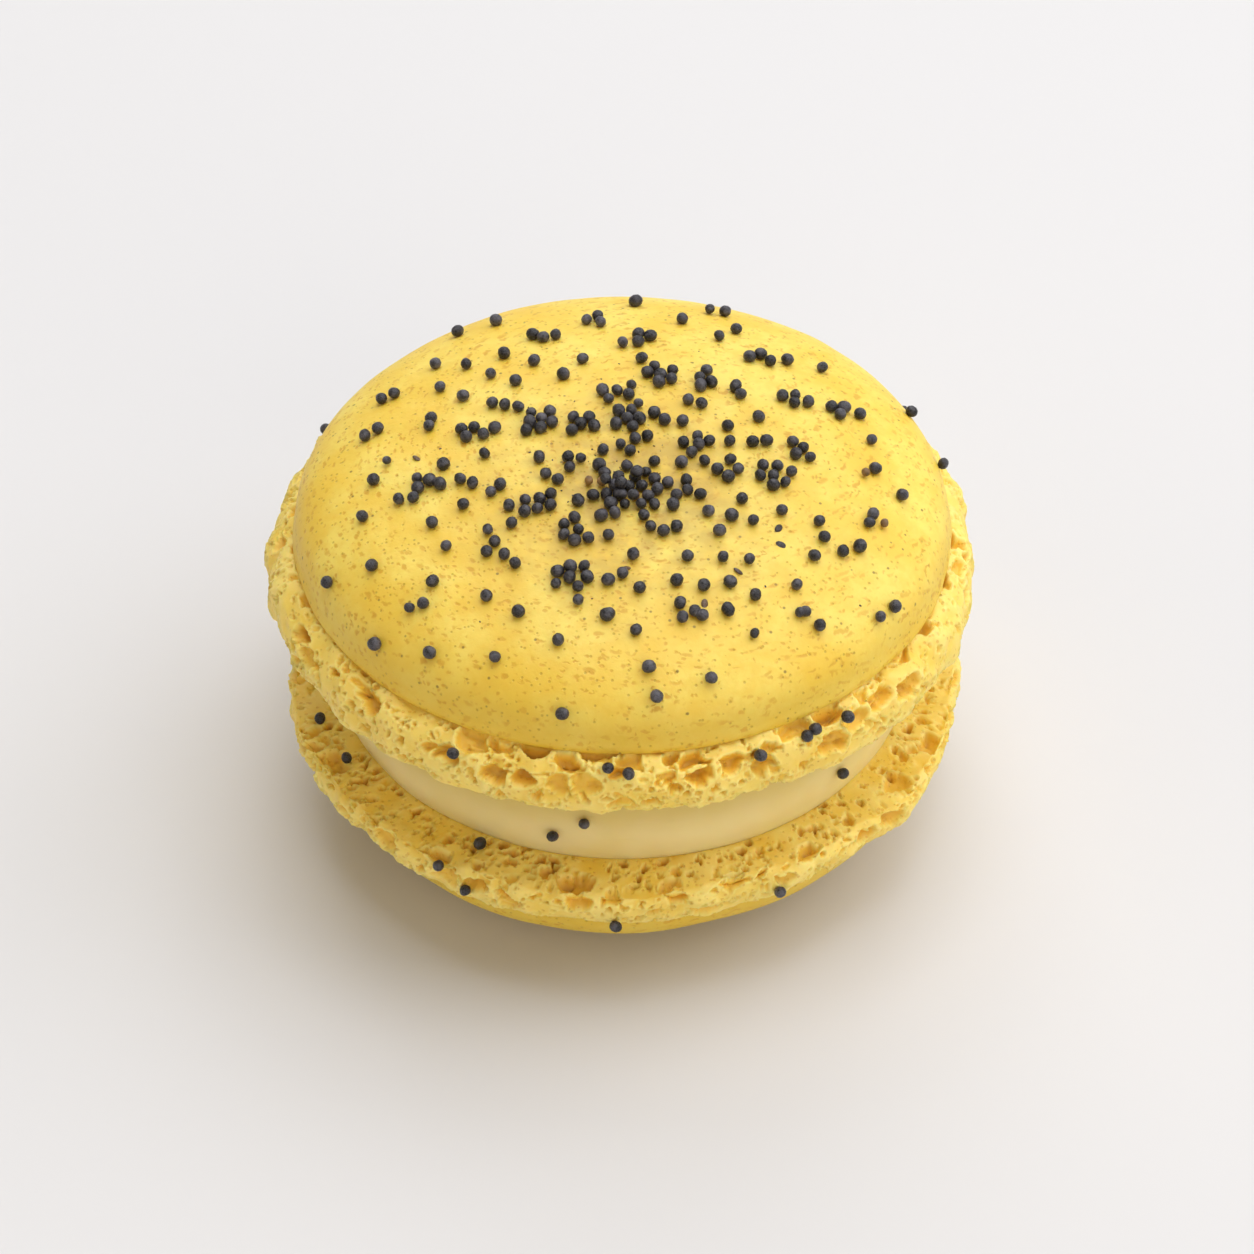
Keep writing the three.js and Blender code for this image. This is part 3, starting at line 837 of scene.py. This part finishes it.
def crumbs(skin_tree, material):
    """Broken coats and specks among the seeds: flat shards, and grains of 0.09 to 0.22 mm."""
    rng = np.random.default_rng(8)
    specks = 60
    turn = rng.uniform(0, 2 * math.pi, specks)
    reach = np.abs(rng.normal(0, 7.5, specks))
    specks_x = reach * np.cos(turn) + HEAP[0]
    specks_y = reach * np.sin(turn) + HEAP[1] + 2
    flat = SHARDS + list(zip(specks_x, specks_y))
    found = [surface_under(skin_tree, x, y) for x, y in flat]
    places = np.array([p for p, _ in found])
    outward = np.array([n for _, n in found])
    sizes = np.where(np.arange(len(flat)) < len(SHARDS), 0.75, rng.uniform(0.09, 0.22, len(flat)))
    scale = sizes[:, None] * np.array([1.0, 0.7, 0.35])
    bloom = rng.uniform(0, 0.3, len(flat))
    tan = rng.uniform(0, 0.6, len(flat)) ** 2
    return seed_group("seed_crumbs", places, outward, scale, bloom, tan, material, rng)


def named_seeds(trees, material):
    """The seeds that the construction names, each at its own place, let down onto whichever
    finished surface is nearest."""
    rng = np.random.default_rng(3)
    pieces = []
    for node in SEED_NODES:
        low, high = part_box(node)
        middle = (low + high) / 2
        hits = [tree.find_nearest(middle) for tree in trees]
        point, normal, _, _ = min(hits, key=lambda hit: hit[3])
        place = np.array(point) / MM + np.array(normal) * SEED_RISE
        scale, bloom, tan = seed_looks(1, rng)
        piece = seed_group("poppy_" + node, place[None], np.array(normal)[None], scale, bloom,
                           np.zeros(1), material, rng)
        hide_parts(node)
        pieces.append(piece)
    return pieces


# ----------------------------------------------------------------------- floor, light, camera

def floor():
    """A plain pale table top, larger than any view."""
    half = 3000  # millimetres
    points = np.array([[-half, -half, 0], [half, -half, 0], [half, half, 0], [-half, half, 0]], float)
    material, _, _ = new_material("pale_table", {
        "Base Color": colour("#DBDADB"), "Roughness": 0.7, "Specular IOR Level": 0.2,
    })
    piece = make_piece("floor", points, [np.array([[0, 1, 2, 3]])], None, material)


def soft_light(name, place, size, power, tone):
    """A square soft box at a place in metres, aimed at the macaron."""
    light = bpy.data.lights.new(name, "AREA")
    light.size = size
    light.energy = power
    light.color = colour(tone)[:3]
    lamp = bpy.data.objects.new(name, light)
    bpy.context.scene.collection.objects.link(lamp)
    lamp.location = place
    aim = Vector((0, 0, 0.015)) - Vector(place)
    lamp.rotation_euler = aim.to_track_quat("-Z", "Y").to_euler()


def lights():
    """Daylight: a large window to the right and a little behind, a pale wall behind, a ceiling,
    weaker and warmer light thrown back from the front and the left, and a pale room all round."""
    soft_light("window", (0.84, 0.2, 0.82), 1.2, 9.0, "#F9FAFF")
    soft_light("back", (0.0, 0.85, 0.85), 0.9, 5.4, "#FCFDFF")
    soft_light("ceiling", (0.05, 0.05, 1.2), 0.7, 4.9, "#FDFEFF")
    soft_light("front", (0.48, -1.0, 0.4), 1.0, 4.7, "#FFF3DC")
    soft_light("left", (-1.0, -0.3, 0.45), 0.8, 1.7, "#FFEBC2")
    world = bpy.data.worlds.new("room")
    bpy.context.scene.world = world
    world.use_nodes = True
    background = world.node_tree.nodes["Background"]
    background.inputs["Color"].default_value = colour("#FFFDFA")
    background.inputs["Strength"].default_value = 0.26
    bpy.context.scene.view_settings.view_transform = "Standard"


def camera():
    """A long lens looking down at about 42 degrees."""
    data = bpy.data.cameras.new("camera")
    data.lens = 124.7
    data.sensor_width = 36.0
    data.clip_start = 0.01
    view = bpy.data.objects.new("camera", data)
    bpy.context.scene.collection.objects.link(view)
    aim = Vector((0.3, 0, 12.95)) * MM
    elevation = math.radians(41.8)
    distance = 300 * MM
    view.location = aim + distance * Vector((0, -math.cos(elevation), math.sin(elevation)))
    view.rotation_euler = (aim - view.location).to_track_quat("-Z", "Y").to_euler()
    bpy.context.scene.camera = view


# --------------------------------------------------------------------------------- the macaron

def surface_tree(piece):
    """A search tree over a finished piece's surface."""
    return BVHTree.FromObject(piece, bpy.context.evaluated_depsgraph_get())


def build():
    """All pieces of the macaron: the shells and the filling, and the seeds stuck to them."""
    meringue, cream, coat = baked_meringue(), buttercream(), poppy_seed_coat()
    upper = shell_piece("upper_macaron_shell", UPPER, meringue)
    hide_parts("upper_shell")
    lower = shell_piece("lower_macaron_shell", LOWER, meringue)
    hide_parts("lower_shell")
    filling = filling_piece(cream)
    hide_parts("filling")
    for piece, slot in [(upper, "baked_meringue"), (lower, "baked_meringue"),
                        (filling, "buttercream")]:
        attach(piece, "root")

    trees = [surface_tree(piece) for piece in (upper, lower, filling)]
    seeds = named_seeds(trees, coat)
    boxes = [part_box(node) for node in SEED_NODES]
    taken = [((low + high) / 2 / MM)[:2] for low, high in boxes]
    seeds += strewn_seeds(trees[0], taken, coat)
    seeds.append(crumbs(trees[0], coat))
    for piece in seeds:
        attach(piece, "root")


camera()
lights()
floor()
build()
